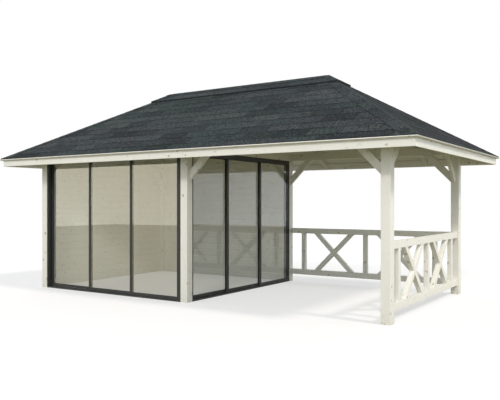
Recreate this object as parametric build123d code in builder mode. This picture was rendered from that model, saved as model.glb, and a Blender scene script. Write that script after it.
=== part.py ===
from build123d import *
import math
import os

# Driving dimensions of the gazebo, in millimetres and degrees.
# X runs along the long side, the glazed room lies at -X, the open bay at +X, the front faces -Y.
length = 6000.0
depth = 3000.0

# Posts and the plates that lie on them
post_size = 120.0
post_height = 2125.0
post_chamfer = 4.0
plate_height = 120.0
plate_edge = 99.0

# Knee braces, set back from the inner faces of the posts
brace_drop = 428.0
brace_width = 98.0
brace_thickness = 45.0
brace_inset = 20.0

# Boarded walls, set back from the outer faces of the posts
wall_inset = 15.0
wall_thickness = 28.0

# Railings of the open bay
rail_height = 90.0
rail_thickness = 65.0
low_rail_level = 132.0
railing_height = 943.0
bar_width = 71.0
bar_thickness = 61.0
first_bar = 262.0

# Roof
pitch_angle = 30.0
eave_overhang = 425.0
deck_lip = 48.0
shingle_lip = 25.0
deck_thickness = 20.0
shingle_thickness = 8.0
rafter_width = 45.0
rafter_depth = 95.0
first_rafter = 530.0
rafter_spacing = 900.0
end_rafter_spacing = 900.0
ridge_beam_height = 140.0
fascia_thickness = 20.0
fascia_height = 110.0
fascia_joint = 0.6
cap_half_width = 240.0
cap_thickness = 25.0

# Sliding doors, three panels on three tracks, nearly flush with the posts
door_inset = 5.0
jamb_width = 25.0
track_pitch = 32.0
fin_thickness = 4.0
sill_thickness = 12.0
sill_height = 22.0
rib_width = 6.0
head_height = 70.0
head_thickness = 12.0
panel_thickness = 18.0
stile_width = 42.0
panel_lift = 6.0
panel_headroom = 6.0
low_rail_top = 62.0
top_rail_show = 3.0
end_clearance = 5.0
glass_thickness = 6.0
shoe_length = 60.0
shoe_width = 10.0
shoe_inset = 80.0
shoe_clearance = 0.3

# Derived places
half_length = length / 2
half_depth = depth / 2
half_post = post_size / 2
inner_x = half_length - post_size
inner_y = half_depth - post_size
plate_top = post_height + plate_height
slope = math.tan(math.radians(pitch_angle))
slope_sin = math.sin(math.radians(pitch_angle))
slope_cos = math.cos(math.radians(pitch_angle))
eave_height = post_height + plate_edge + rafter_depth / slope_cos - eave_overhang * slope
reach_x = half_length + eave_overhang
reach_y = half_depth + eave_overhang
tail_x = reach_x - fascia_thickness
tail_y = reach_y - fascia_thickness
ridge_half = half_length - half_depth
ridge_level = eave_height + reach_y * slope
roof_top = ridge_level + (deck_thickness + shingle_thickness + cap_thickness) / slope_cos
half_rafter = rafter_width / 2
hip_shift = half_rafter * math.sqrt(2)
track_count = 3
door_depth = track_count * track_pitch + fin_thickness
head_bottom = post_height - head_height
panel_bottom = sill_height + panel_lift
panel_top = post_height - head_thickness - panel_headroom
glass_top = head_bottom - top_rail_show

FRONT = (0, -1)
BACK = (0, 1)
LEFT = (-1, 0)
RIGHT = (1, 0)


def slope_plane(side, lift):
    """Plane of one roof slope, lifted square to the underside of its boards."""
    normal = Vector(side[0] * slope_sin, side[1] * slope_sin, slope_cos)
    foot = Vector(side[0] * reach_x, side[1] * reach_y, eave_height)
    return Plane(origin=foot + normal * lift, z_dir=normal)


def raise_outline(points, low, high):
    """Raise a closed plan outline from one level to another."""
    with BuildSketch(Plane.XY.offset(low)) as outline:
        with BuildLine():
            Polyline(*points, close=True)
        make_face()
    extrude(outline.sketch, amount=high - low)


def block(x_span, y_span, z_span):
    """Raise a rectangle given by its two ends on each axis."""
    x_low, x_high = x_span
    y_low, y_high = y_span
    raise_outline(
        [(x_low, y_low), (x_high, y_low), (x_high, y_high), (x_low, y_high)],
        z_span[0],
        z_span[1],
    )


def wall_plane(along_x, face):
    """Upright plane whose first axis runs along the wall and whose second axis is up."""
    if along_x:
        return Plane(origin=(0, face, 0), x_dir=(1, 0, 0), z_dir=(0, -1, 0))
    return Plane(origin=(face, 0, 0), x_dir=(0, 1, 0), z_dir=(1, 0, 0))


def draw_upright(plane, outlines, thickness):
    """Extrude closed outlines drawn on an upright plane."""
    with BuildSketch(plane) as drawing:
        for points in outlines:
            with BuildLine():
                Polyline(*points, close=True)
            make_face()
    extrude(drawing.sketch, amount=thickness)


def brace_outline(post_face, direction):
    """Side view of a brace at 45 degrees between a post face and the plate."""
    cut = brace_width * math.sqrt(2)
    foot = post_height - brace_drop
    return [
        (post_face, foot),
        (post_face, foot + cut),
        (post_face + direction * (brace_drop - cut), post_height),
        (post_face + direction * brace_drop, post_height),
    ]


def railing(along_x, face, start, end):
    """Two rails, three uprights and two crosses between two posts."""
    low_top = low_rail_level + rail_height
    high_bottom = railing_height - rail_height
    rails = [
        [(start, low), (end, low), (end, low + rail_height), (start, low + rail_height)]
        for low in (low_rail_level, high_bottom)
    ]
    draw_upright(wall_plane(along_x, face), rails, rail_thickness)
    uprights = [start + first_bar, (start + end) / 2, end - first_bar]
    half_bar = bar_width / 2
    half_cut = half_bar * math.sqrt(2)
    half_rise = (high_bottom - low_top) / 2
    set_back = (rail_thickness - bar_thickness) / 2
    bar_face = face - set_back if along_x else face + set_back
    bars = wall_plane(along_x, bar_face)
    for place in uprights:
        left, right = place - half_bar, place + half_bar
        outline = [(left, low_top), (right, low_top), (right, high_bottom), (left, high_bottom)]
        draw_upright(bars, [outline], bar_thickness)
    for first, second in zip(uprights, uprights[1:]):
        middle = (first + second) / 2
        for lean in (half_rise, -half_rise):
            foot, top = middle - lean, middle + lean
            outline = [
                (foot - half_cut, low_top),
                (foot + half_cut, low_top),
                (top + half_cut, high_bottom),
                (top - half_cut, high_bottom),
            ]
            draw_upright(bars, [outline], bar_thickness)


def door_block(along_x, along, across, z_span):
    """Block of a door set, given along the wall and inwards from its outer face."""
    if along_x:
        outer = -half_depth + door_inset
        block(along, (outer + across[0], outer + across[1]), z_span)
    else:
        outer = half_post - door_inset
        block((outer - across[1], outer - across[0]), along, z_span)


def track_middle(track):
    """Middle of a track, inwards from the outer face of the door set."""
    return fin_thickness / 2 + track_pitch / 2 + track * track_pitch


def door_panel_span(opening, place):
    """The two edges of a closed panel, counted from the low end of the opening."""
    low, high = opening
    clear = high - low - 2 * jamb_width - 2 * end_clearance
    width = (clear + 2 * stile_width) / track_count
    start = low + jamb_width + end_clearance + place * (width - stile_width)
    return start, start + width


def door_jambs(along_x, opening):
    """The two jambs, from the ground to the plate."""
    low, high = opening
    for span in ((low, low + jamb_width), (high - jamb_width, high)):
        door_block(along_x, span, (0, door_depth), (0, post_height))


def door_track_plates(along_x, opening):
    """The sill plate and the head plate between the jambs."""
    span = (opening[0] + jamb_width, opening[1] - jamb_width)
    door_block(along_x, span, (0, door_depth), (0, sill_thickness))
    door_block(along_x, span, (0, door_depth), (post_height - head_thickness, post_height))


def door_track_fins(along_x, opening):
    """Fins that guide the panels at the head, and lips and ribs on the sill."""
    span = (opening[0] + jamb_width, opening[1] - jamb_width)
    for number in range(track_count + 1):
        start = number * track_pitch
        fin = (start, start + fin_thickness)
        door_block(along_x, span, fin, (head_bottom, post_height - head_thickness))
    for start in (0, door_depth - fin_thickness):
        lip = (start, start + fin_thickness)
        door_block(along_x, span, lip, (sill_thickness, sill_height))
    for track in range(track_count):
        middle = track_middle(track)
        rib = (middle - rib_width / 2, middle + rib_width / 2)
        door_block(along_x, span, rib, (sill_thickness, sill_height))


def door_frame(along_x, opening, place, track):
    """Two stiles, two rails and two sliding shoes of one panel."""
    start, end = door_panel_span(opening, place)
    middle = track_middle(track)
    body = (middle - panel_thickness / 2, middle + panel_thickness / 2)
    shoe = (middle - shoe_width / 2, middle + shoe_width / 2)
    for span in ((start, start + stile_width), (end - stile_width, end)):
        door_block(along_x, span, body, (panel_bottom, panel_top))
    inside = (start + stile_width, end - stile_width)
    door_block(along_x, inside, body, (panel_bottom, low_rail_top))
    door_block(along_x, inside, body, (glass_top, panel_top))
    for shoe_start in (start + shoe_inset, end - shoe_inset - shoe_length):
        span = (shoe_start, shoe_start + shoe_length)
        door_block(along_x, span, shoe, (sill_height + shoe_clearance, panel_bottom))


def door_glass(along_x, opening, place, track):
    """The pane that fills one panel."""
    start, end = door_panel_span(opening, place)
    middle = track_middle(track)
    body = (middle - glass_thickness / 2, middle + glass_thickness / 2)
    span = (start + stile_width, end - stile_width)
    door_block(along_x, span, body, (low_rail_top, glass_top))


def save(builder, name):
    """Label a finished piece and write it out."""
    builder.part.label = name
    export_step(builder.part, f"parts/{name}.step")


os.makedirs("parts", exist_ok=True)

# Six posts
post_places = {
    "front_left_post": (-half_length + half_post, -half_depth + half_post),
    "front_middle_post": (0, -half_depth + half_post),
    "front_right_post": (half_length - half_post, -half_depth + half_post),
    "back_left_post": (-half_length + half_post, half_depth - half_post),
    "back_middle_post": (0, half_depth - half_post),
    "back_right_post": (half_length - half_post, half_depth - half_post),
}
for post_name, (post_x, post_y) in post_places.items():
    with BuildPart() as post:
        block(
            (post_x - half_post, post_x + half_post),
            (post_y - half_post, post_y + half_post),
            (0, post_height),
        )
        chamfer(post.edges().filter_by(Axis.Z), post_chamfer)
    save(post, post_name)

# Plates, mitred at the corners and bevelled under the rafters
with BuildPart() as long_plates:
    raise_outline(
        [
            (-half_length, -half_depth),
            (half_length, -half_depth),
            (inner_x, -inner_y),
            (-inner_x, -inner_y),
        ],
        post_height,
        plate_top,
    )
    split(bisect_by=slope_plane(FRONT, -rafter_depth), keep=Keep.BOTTOM)
    mirror(about=Plane.XZ)
save(long_plates, "long_plates")

with BuildPart() as end_plates:
    raise_outline(
        [
            (half_length, -half_depth),
            (half_length, half_depth),
            (inner_x, inner_y),
            (inner_x, -inner_y),
        ],
        post_height,
        plate_top,
    )
    split(bisect_by=slope_plane(RIGHT, -rafter_depth), keep=Keep.BOTTOM)
    mirror(about=Plane.YZ)
save(end_plates, "end_plates")

with BuildPart() as middle_beam:
    block((-half_post, half_post), (-inner_y, inner_y), (post_height, plate_top))
save(middle_beam, "middle_beam")

# Knee braces
with BuildPart() as knee_braces:
    inner_face = inner_y + brace_inset
    front_line = wall_plane(True, -inner_face)
    back_line = wall_plane(True, inner_face + brace_thickness)
    draw_upright(
        front_line,
        [brace_outline(half_post, 1), brace_outline(inner_x, -1)],
        brace_thickness,
    )
    draw_upright(
        back_line,
        [
            brace_outline(half_post, 1),
            brace_outline(inner_x, -1),
            brace_outline(-half_post, -1),
            brace_outline(-inner_x, 1),
        ],
        brace_thickness,
    )
    for end_face in (inner_x + brace_inset, -inner_x - brace_inset - brace_thickness):
        draw_upright(
            wall_plane(False, end_face),
            [brace_outline(-inner_y, 1), brace_outline(inner_y, -1)],
            brace_thickness,
        )
save(knee_braces, "knee_braces")

# Boarded walls of the room
with BuildPart() as left_wall:
    wall_face = -half_length + wall_inset
    block((wall_face, wall_face + wall_thickness), (-inner_y, inner_y), (0, post_height))
save(left_wall, "left_wall")

with BuildPart() as back_wall:
    wall_face = half_depth - wall_inset
    block((-inner_x, -half_post), (wall_face - wall_thickness, wall_face), (0, post_height))
save(back_wall, "back_wall")

# Railings of the open bay
with BuildPart() as back_railing:
    railing(True, half_depth - half_post + rail_thickness / 2, half_post, inner_x)
save(back_railing, "back_railing")

with BuildPart() as right_railing:
    railing(False, half_length - half_post - rail_thickness / 2, -inner_y, inner_y)
save(right_railing, "right_railing")

# Sliding doors: the front set runs along X, the set between room and bay along Y.
# The panel at the low end runs on the inner track, the one at the high end on the outer track.
door_sets = {
    "front_door": (True, (-inner_x, -half_post), ("left", "middle", "right")),
    "side_door": (False, (-inner_y, inner_y), ("front", "middle", "back")),
}
for set_name, (along_x, opening, panel_names) in door_sets.items():
    with BuildPart() as jambs:
        door_jambs(along_x, opening)
    save(jambs, f"{set_name}_jambs")

    with BuildPart() as track_plates:
        door_track_plates(along_x, opening)
    save(track_plates, f"{set_name}_track_plates")

    with BuildPart() as track_fins:
        door_track_fins(along_x, opening)
    save(track_fins, f"{set_name}_track_fins")

    for place, panel_name in enumerate(panel_names):
        track = track_count - 1 - place
        with BuildPart() as frame:
            door_frame(along_x, opening, place, track)
        save(frame, f"{set_name}_{panel_name}_frame")

        with BuildPart() as pane:
            door_glass(along_x, opening, place, track)
        save(pane, f"{set_name}_{panel_name}_glass")

# Ridge beam, rafters and hip rafters, all under the roof boards
with BuildPart() as ridge_beam:
    beam_top = ridge_level - half_rafter * slope
    block(
        (-ridge_half, ridge_half),
        (-half_rafter, half_rafter),
        (beam_top - ridge_beam_height, beam_top),
    )
save(ridge_beam, "ridge_beam")

with BuildPart() as long_side_rafters:
    for place in (first_rafter, first_rafter + rafter_spacing, first_rafter + 2 * rafter_spacing):
        for side in (-1, 1):
            near, far = side * (place - half_rafter), side * (place + half_rafter)
            near_top = max(half_rafter, place - half_rafter - ridge_half + hip_shift)
            far_top = max(half_rafter, place + half_rafter - ridge_half + hip_shift)
            raise_outline(
                [(near, -tail_y), (far, -tail_y), (far, -far_top), (near, -near_top)],
                0,
                roof_top,
            )
    split(bisect_by=slope_plane(FRONT, 0), keep=Keep.BOTTOM)
    split(bisect_by=slope_plane(FRONT, -rafter_depth), keep=Keep.TOP)
    mirror(about=Plane.XZ)
save(long_side_rafters, "long_side_rafters")

with BuildPart() as end_rafters:
    raise_outline(
        [
            (ridge_half, -half_rafter),
            (tail_x, -half_rafter),
            (tail_x, half_rafter),
            (ridge_half, half_rafter),
        ],
        0,
        roof_top,
    )
    for side in (-1, 1):
        low, high = end_rafter_spacing - half_rafter, end_rafter_spacing + half_rafter
        low_top, high_top = ridge_half + low + hip_shift, ridge_half + high + hip_shift
        raise_outline(
            [(tail_x, side * low), (tail_x, side * high), (high_top, side * high), (low_top, side * low)],
            0,
            roof_top,
        )
    for side in (RIGHT, FRONT, BACK):
        split(bisect_by=slope_plane(side, 0), keep=Keep.BOTTOM)
    split(bisect_by=slope_plane(RIGHT, -rafter_depth), keep=Keep.TOP)
    mirror(about=Plane.YZ)
save(end_rafters, "end_rafters")

with BuildPart() as hip_rafters:
    raise_outline(
        [
            (ridge_half + half_rafter - hip_shift, half_rafter),
            (ridge_half + half_rafter + hip_shift, half_rafter),
            (tail_x, tail_y - hip_shift),
            (tail_x, tail_y),
            (tail_x - hip_shift, tail_y),
        ],
        0,
        roof_top,
    )
    split(bisect_by=slope_plane(BACK, 0), keep=Keep.BOTTOM)
    split(bisect_by=slope_plane(RIGHT, 0), keep=Keep.BOTTOM)
    hip_normal = Vector(slope / 2, slope / 2, 1)
    hip_foot = Vector(reach_x, reach_y, eave_height - rafter_depth / slope_cos)
    split(bisect_by=Plane(origin=hip_foot, z_dir=hip_normal), keep=Keep.TOP)
    mirror(about=Plane.XZ)
    mirror(about=Plane.YZ)
save(hip_rafters, "hip_rafters")

# Roof boards and the shingle covering, one slab for each slope
covering = deck_thickness + shingle_thickness
layers = {
    "roof_boards": (deck_lip, 0, deck_thickness),
    "shingles": (shingle_lip, deck_thickness, covering),
}
for layer_name, (layer_lip, layer_low, layer_high) in layers.items():
    edge_x = reach_x + layer_lip
    edge_y = reach_y + layer_lip
    long_side_plan = [
        (-edge_x, -edge_y),
        (edge_x, -edge_y),
        (ridge_half, 0),
        (-ridge_half, 0),
    ]
    end_plan = [(edge_x, -edge_y), (edge_x, edge_y), (ridge_half, 0)]
    with BuildPart() as front_slope:
        raise_outline(long_side_plan, 0, roof_top)
        split(bisect_by=slope_plane(FRONT, layer_high), keep=Keep.BOTTOM)
        split(bisect_by=slope_plane(FRONT, layer_low), keep=Keep.TOP)
    save(front_slope, f"front_{layer_name}")

    with BuildPart() as back_slope:
        mirror(front_slope.part, about=Plane.XZ)
    save(back_slope, f"back_{layer_name}")

    with BuildPart() as right_slope:
        raise_outline(end_plan, 0, roof_top)
        split(bisect_by=slope_plane(RIGHT, layer_high), keep=Keep.BOTTOM)
        split(bisect_by=slope_plane(RIGHT, layer_low), keep=Keep.TOP)
    save(right_slope, f"right_{layer_name}")

    with BuildPart() as left_slope:
        mirror(right_slope.part, about=Plane.YZ)
    save(left_slope, f"left_{layer_name}")

# Fascia boards, mitred with an open joint at each corner
with BuildPart() as fascia_boards:
    fascia_bottom = eave_height - fascia_height
    raise_outline(
        [
            (-reach_x + fascia_joint, -reach_y),
            (reach_x - fascia_joint, -reach_y),
            (tail_x - fascia_joint, -tail_y),
            (-tail_x + fascia_joint, -tail_y),
        ],
        fascia_bottom,
        eave_height,
    )
    mirror(about=Plane.XZ)
    for side in (-1, 1):
        raise_outline(
            [
                (side * reach_x, -reach_y + fascia_joint),
                (side * reach_x, reach_y - fascia_joint),
                (side * tail_x, tail_y - fascia_joint),
                (side * tail_x, -tail_y + fascia_joint),
            ],
            fascia_bottom,
            eave_height,
        )
save(fascia_boards, "fascia_boards")

# Ridge cap: a small hipped hat that lies on the shingles
with BuildPart() as cap_core:
    block(
        (-ridge_half - 2 * cap_half_width, ridge_half + 2 * cap_half_width),
        (-2 * cap_half_width, 2 * cap_half_width),
        (eave_height, roof_top),
    )
    for side in (FRONT, BACK, LEFT, RIGHT):
        split(bisect_by=slope_plane(side, covering), keep=Keep.BOTTOM)

with BuildPart() as ridge_cap:
    block(
        (-ridge_half - cap_half_width, ridge_half + cap_half_width),
        (-cap_half_width, cap_half_width),
        (eave_height, roof_top),
    )
    for side in (FRONT, BACK, LEFT, RIGHT):
        split(bisect_by=slope_plane(side, covering + cap_thickness), keep=Keep.BOTTOM)
    add(cap_core.part, mode=Mode.SUBTRACT)
save(ridge_cap, "ridge_cap")
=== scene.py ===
import logging
import math
import random
from collections.abc import Callable, Iterable, Sequence
from dataclasses import dataclass, field
from enum import Enum
from functools import cache

import bmesh
import bpy
from mathutils import Matrix, Vector, noise


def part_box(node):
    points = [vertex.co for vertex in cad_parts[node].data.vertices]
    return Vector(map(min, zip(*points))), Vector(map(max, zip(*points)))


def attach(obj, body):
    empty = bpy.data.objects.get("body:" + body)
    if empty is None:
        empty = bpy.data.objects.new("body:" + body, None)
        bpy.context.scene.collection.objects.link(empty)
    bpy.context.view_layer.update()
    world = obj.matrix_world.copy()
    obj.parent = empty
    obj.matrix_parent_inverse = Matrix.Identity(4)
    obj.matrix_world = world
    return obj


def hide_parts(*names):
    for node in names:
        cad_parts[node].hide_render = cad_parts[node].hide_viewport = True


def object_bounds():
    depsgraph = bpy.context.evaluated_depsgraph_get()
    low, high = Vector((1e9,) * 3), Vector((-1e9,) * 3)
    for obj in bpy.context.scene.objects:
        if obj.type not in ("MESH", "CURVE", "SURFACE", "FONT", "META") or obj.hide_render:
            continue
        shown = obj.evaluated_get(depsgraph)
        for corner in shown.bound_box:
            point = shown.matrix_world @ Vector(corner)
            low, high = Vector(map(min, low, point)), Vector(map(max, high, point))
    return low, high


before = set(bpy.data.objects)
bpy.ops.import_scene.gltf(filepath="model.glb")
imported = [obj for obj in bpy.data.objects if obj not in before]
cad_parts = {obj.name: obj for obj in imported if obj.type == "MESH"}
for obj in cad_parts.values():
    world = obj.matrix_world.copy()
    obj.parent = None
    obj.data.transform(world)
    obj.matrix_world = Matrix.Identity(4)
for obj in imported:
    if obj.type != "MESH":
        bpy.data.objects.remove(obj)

CAD_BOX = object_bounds()
LOG = logging.getLogger("gazebo")

Colour = tuple[float, float, float]
Span = tuple[float, float]
Cut = tuple[Vector, Vector]
Spot = tuple[Vector, Vector]
Mesh = bmesh.types.BMesh
Loop = list[bmesh.types.BMVert]
Node = bpy.types.Node
NodeTree = bpy.types.NodeTree
Outputs = bpy.types.NodeOutputs
Piece = bpy.types.Object
Socket = bpy.types.NodeSocket
Value = Socket | float | Sequence[float]

# The fixed body, and what a mesh carries for its finish
GAZEBO = "gazebo"
GRAIN = "grain"
TONE = "tone"
TINT = "tint"

# Directions
UP = Vector((0.0, 0.0, 1.0))
ALONG_X = Vector((1.0, 0.0, 0.0))
ALONG_Y = Vector((0.0, 1.0, 0.0))
BOTH_WAYS = (-1.0, 1.0)

# Eased edges of timbers: radius, steps, and the angles from which an edge counts as sharp
EASE = 0.003
EASE_STEPS = 2
SHARP = math.radians(20.0)
NODE_SHARP = math.radians(30.0)

# Nearness at which corners of a mesh are one, and at which a cut runs through a corner
ONE_CORNER = 1e-5
ON_CUT = 1e-6

# Height of a course of shingles that shows
COURSE_HEIGHT = 0.196

# Sockets of Blender's Mix node that take and give colours
MIX_SHARE, MIX_FIRST, MIX_SECOND, MIX_RESULT = 0, 6, 7, 2

# Where a timber's own stretch of grain starts, along and across it
GRAIN_STARTS: tuple[Span, ...] = ((0.0, 40.0), (0.02, 0.08), (0.03, 0.09))


def measure(value: float) -> float:
    """A size of the frame, to a hundredth of a millimetre."""
    return round(value, 5)


def within(value: float, low: float, high: float) -> float:
    """A value kept between two limits."""
    return max(low, min(high, value))


def rgba(colour: Colour) -> tuple[float, ...]:
    """A colour in the form that a socket takes."""
    return (*colour, 1.0)


# Shader nodes


class NodeSheet:
    """Draws nodes and links in one shader tree."""

    def __init__(self, tree: NodeTree) -> None:
        """Keep the tree that is drawn on."""
        self.tree = tree

    def feed(self, socket: Socket, value: Value) -> None:
        """Link a socket to another one, or set its plain value.

        Args:
            socket: the input that is fed.
            value: the socket that it is linked to, or a plain value.
        """
        if isinstance(value, Socket):
            self.tree.links.new(value, socket)
        else:
            socket.default_value = value

    def fill(self, node: Node, inputs: dict[str | int, Value]) -> None:
        """Feed inputs of a node by name or number."""
        for key, value in inputs.items():
            self.feed(node.inputs[key], value)

    def add(self, kind: str, inputs: dict[str | int, Value] | None = None, **settings: object) -> Node:
        """Add a node, set its properties and feed its inputs.

        Args:
            kind: Blender's name of the node type.
            inputs: what its inputs get, by name or number.
            settings: properties of the node.

        Returns:
            The new node.
        """
        node = self.tree.nodes.new(kind)
        for name, value in settings.items():
            setattr(node, name, value)
        self.fill(node, inputs or {})
        return node

    def maths(self, operation: str, *values: Value) -> Socket:
        """Result of a Math node on sockets or numbers."""
        return self.add("ShaderNodeMath", dict(enumerate(values)), operation=operation).outputs[0]

    def times(self, value: Socket, factor: Value) -> Socket:
        """A value multiplied by a socket or a number."""
        return self.maths("MULTIPLY", value, factor)

    def vector(self, operation: str, *values: Value) -> Outputs:
        """Results of a Vector Math node on sockets or vectors: Vector, or Value for a number."""
        return self.add("ShaderNodeVectorMath", dict(enumerate(values)), operation=operation).outputs

    def scaled(self, place: Socket, factors: Sequence[float]) -> Socket:
        """Stretch a place by one factor per axis."""
        return self.vector("MULTIPLY", place, factors)["Vector"]

    def axes(self, place: Socket) -> Outputs:
        """X, Y and Z of a place, by number."""
        return self.add("ShaderNodeSeparateXYZ", {0: place}).outputs

    def joined(self, x: Value = 0.0, y: Value = 0.0) -> Socket:
        """A vector from its X and its Y."""
        return self.add("ShaderNodeCombineXYZ", {0: x, 1: y}).outputs[0]

    def noise(self, place: Socket, scale: float, detail: float = 2.0) -> Socket:
        """Noise at a place, as a number from 0 to 1."""
        inputs = {"Vector": place, "Scale": scale, "Detail": detail}
        return self.add("ShaderNodeTexNoise", inputs).outputs[0]

    def cells(self, place: Socket, scale: float) -> tuple[Outputs, Socket]:
        """Scattered cells, and a number from 0 to 1 thrown for each of them."""
        cells = self.add("ShaderNodeTexVoronoi", {"Vector": place, "Scale": scale}).outputs
        return cells, self.add("ShaderNodeSeparateColor", {0: cells["Color"]}).outputs[0]

    def span(self, value: Socket, given: Span, wanted: Span = (0.0, 1.0)) -> Socket:
        """Map a value smoothly from one span to another.

        Args:
            value: the value that is mapped.
            given: the two values that give the two results.
            wanted: the two results, which are kept to beyond those values.

        Returns:
            The mapped value.
        """
        ends = dict(zip(("From Min", "From Max", "To Min", "To Max"), (*given, *wanted)))
        inputs = {"Value": value, **ends}
        return self.add("ShaderNodeMapRange", inputs, interpolation_type="SMOOTHSTEP").outputs[0]

    def veil(self, value: Socket, given: Span, share: float) -> Socket:
        """Mask that rises from 0 to a share while a value runs through a span."""
        return self.span(value, given, (0.0, share))

    def layers(self, ground: Colour, *coats: tuple[Socket, Colour]) -> Socket:
        """Lay colours over a ground.

        Args:
            ground: the colour below all others.
            coats: a mask from 0 to 1 and a colour for each coat.

        Returns:
            The colour that shows.
        """
        shown: Value = rgba(ground)
        for mask, coat in coats:
            inputs = {MIX_SHARE: mask, MIX_FIRST: shown, MIX_SECOND: rgba(coat)}
            shown = self.add("ShaderNodeMix", inputs, data_type="RGBA").outputs[MIX_RESULT]
        return shown

    def attribute(self, name: str) -> Outputs:
        """What the mesh of the piece carries under a name."""
        return self.add("ShaderNodeAttribute", attribute_name=name).outputs

    def place(self) -> Socket:
        """The place on the piece, in metres."""
        return self.add("ShaderNodeTexCoord").outputs["Object"]

    def group(self, tree: NodeTree, **values: Value) -> Outputs:
        """Place a node group and feed its inputs by name."""
        return self.add("ShaderNodeGroup", values, node_tree=tree).outputs

    def bump(self, height: Socket, depth: float, share: float) -> Socket:
        """Normal of a surface with relief.

        Args:
            height: relief from 0 to 1.
            depth: depth of the relief in metres.
            share: share of the relief that shows.

        Returns:
            The normal.
        """
        inputs = {"Strength": share, "Distance": depth, "Height": height}
        return self.add("ShaderNodeBump", inputs).outputs[0]

    def mix(self, share: Socket, first: Node, second: Node, output: str) -> None:
        """Send two shaders, mixed, to an output.

        Args:
            share: how much of the second shader shows.
            first: the first shader.
            second: the second shader.
            output: name of the output node.
        """
        mixed = self.add("ShaderNodeMixShader", {0: share, 1: first.outputs[0], 2: second.outputs[0]})
        self.feed(self.tree.nodes[output].inputs["Surface"], mixed.outputs[0])


def open_group(name: str, inputs: Sequence[str], outputs: Sequence[str]) -> tuple[NodeSheet, Outputs, Node]:
    """Start a shader node group.

    Args:
        name: name of the group.
        inputs: names of its vector inputs.
        outputs: names of its number outputs.

    Returns:
        The sheet to draw on, what the group is given, and the node that takes what it makes.
    """
    tree = bpy.data.node_groups.new(name, "ShaderNodeTree")
    for words, way, kind in ((inputs, "INPUT", "NodeSocketVector"), (outputs, "OUTPUT", "NodeSocketFloat")):
        for word in words:
            tree.interface.new_socket(name=word, in_out=way, socket_type=kind)
    sheet = NodeSheet(tree)
    return sheet, sheet.add("NodeGroupInput").outputs, sheet.add("NodeGroupOutput")


@cache
def pine_figure() -> NodeTree:
    """Growth rings, fibres and knots of pine; X of its input runs along the grain.

    Returns:
        The node group.
    """
    knot_spacing = (0.15, 0.050, 0.050)
    knot_squeeze = (0.7, 1.0, 1.0)
    knotless, smallest_knot, largest_knot = 0.42, 0.0002, 0.0125
    halo, heart_edge = (2.2, 0.8), (1.10, 0.70)
    swerve_reach, swerve_depth = 0.05, 0.012
    flow_stretch, bend_scale, bend_depth = (0.10, 1.0, 1.0), 5.0, (0.0, 0.05, 0.05)
    ring_look = {"Scale": 34.0, "Distortion": 1.4, "Detail Scale": 1.5}
    fibre_stretch, fibre_detail = (7.0, 300.0, 300.0), 3.0

    sheet, given, made = open_group("pine_figure", ["Grain"], ["Rings", "Fibre", "Knots", "Hearts"])
    grain = given["Grain"]
    squeezed = sheet.scaled(grain, [1.0 / size for size in knot_spacing])
    cells, dice = sheet.cells(squeezed, 1.0)
    offset = sheet.vector("SUBTRACT", cells["Position"], squeezed)["Vector"]
    offset = sheet.scaled(offset, [size * squeeze for size, squeeze in zip(knot_spacing, knot_squeeze)])
    distance = sheet.vector("LENGTH", offset)["Value"]
    radius = sheet.veil(dice, (knotless, 1.0), largest_knot)
    share = sheet.maths("DIVIDE", distance, sheet.maths("ADD", radius, smallest_knot))

    swerve = sheet.joined(y=sheet.veil(distance, (swerve_reach, 0.0), swerve_depth))
    flow = sheet.scaled(grain, flow_stretch)
    bend = sheet.add("ShaderNodeTexNoise", {"Vector": flow, "Scale": bend_scale}).outputs["Color"]
    bent = sheet.vector("ADD", flow, sheet.scaled(bend, bend_depth))["Vector"]
    rings = sheet.add(
        "ShaderNodeTexWave",
        {"Vector": sheet.vector("ADD", bent, swerve)["Vector"], **ring_look},
        wave_type="RINGS",
        rings_direction="X",
        wave_profile="SAW",
    )
    sheet.fill(
        made,
        {
            "Rings": rings.outputs["Fac"],
            "Fibre": sheet.noise(sheet.scaled(grain, fibre_stretch), 1.0, fibre_detail),
            "Knots": sheet.span(share, halo),
            "Hearts": sheet.span(share, heart_edge),
        },
    )
    return sheet.tree


@cache
def weathering() -> NodeTree:
    """Broad unevenness of a finish, and splashes from the ground on its foot.

    Returns:
        The node group.
    """
    mottle_scale, mottle_detail = 14.0, 4.0
    cloud_scale, cloud_detail = 1.7, 3.0
    splash_height, drop_scale, drop_detail, drop_edge = 0.22, 55.0, 3.0, (0.42, 0.68)

    sheet, given, made = open_group("weathering", ["Place"], ["Mottle", "Cloud", "Splash"])
    place = given["Place"]
    low = sheet.span(sheet.axes(place)[2], (splash_height, 0.0))
    drops = sheet.span(sheet.noise(place, drop_scale, drop_detail), drop_edge)
    sheet.fill(
        made,
        {
            "Mottle": sheet.noise(place, mottle_scale, mottle_detail),
            "Cloud": sheet.noise(place, cloud_scale, cloud_detail),
            "Splash": sheet.times(low, drops),
        },
    )
    return sheet.tree


@cache
def edge_rub() -> NodeTree:
    """Where corners have been rubbed, broken up by noise.

    Returns:
        The node group.
    """
    reach, samples, turned = 0.006, 4, (0.995, 0.86)
    patch_scale, patch_detail, patch_edge = 24.0, 4.0, (0.40, 0.66)

    sheet, given, made = open_group("edge_rub", ["Place"], ["Rub"])
    rounded = sheet.add("ShaderNodeBevel", {"Radius": reach}, samples=samples).outputs[0]
    facing = sheet.add("ShaderNodeNewGeometry").outputs["True Normal"]
    turn = sheet.vector("DOT_PRODUCT", rounded, facing)["Value"]
    patches = sheet.span(sheet.noise(given["Place"], patch_scale, patch_detail), patch_edge)
    sheet.fill(made, {"Rub": sheet.times(sheet.span(turn, turned), patches)})
    return sheet.tree


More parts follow.
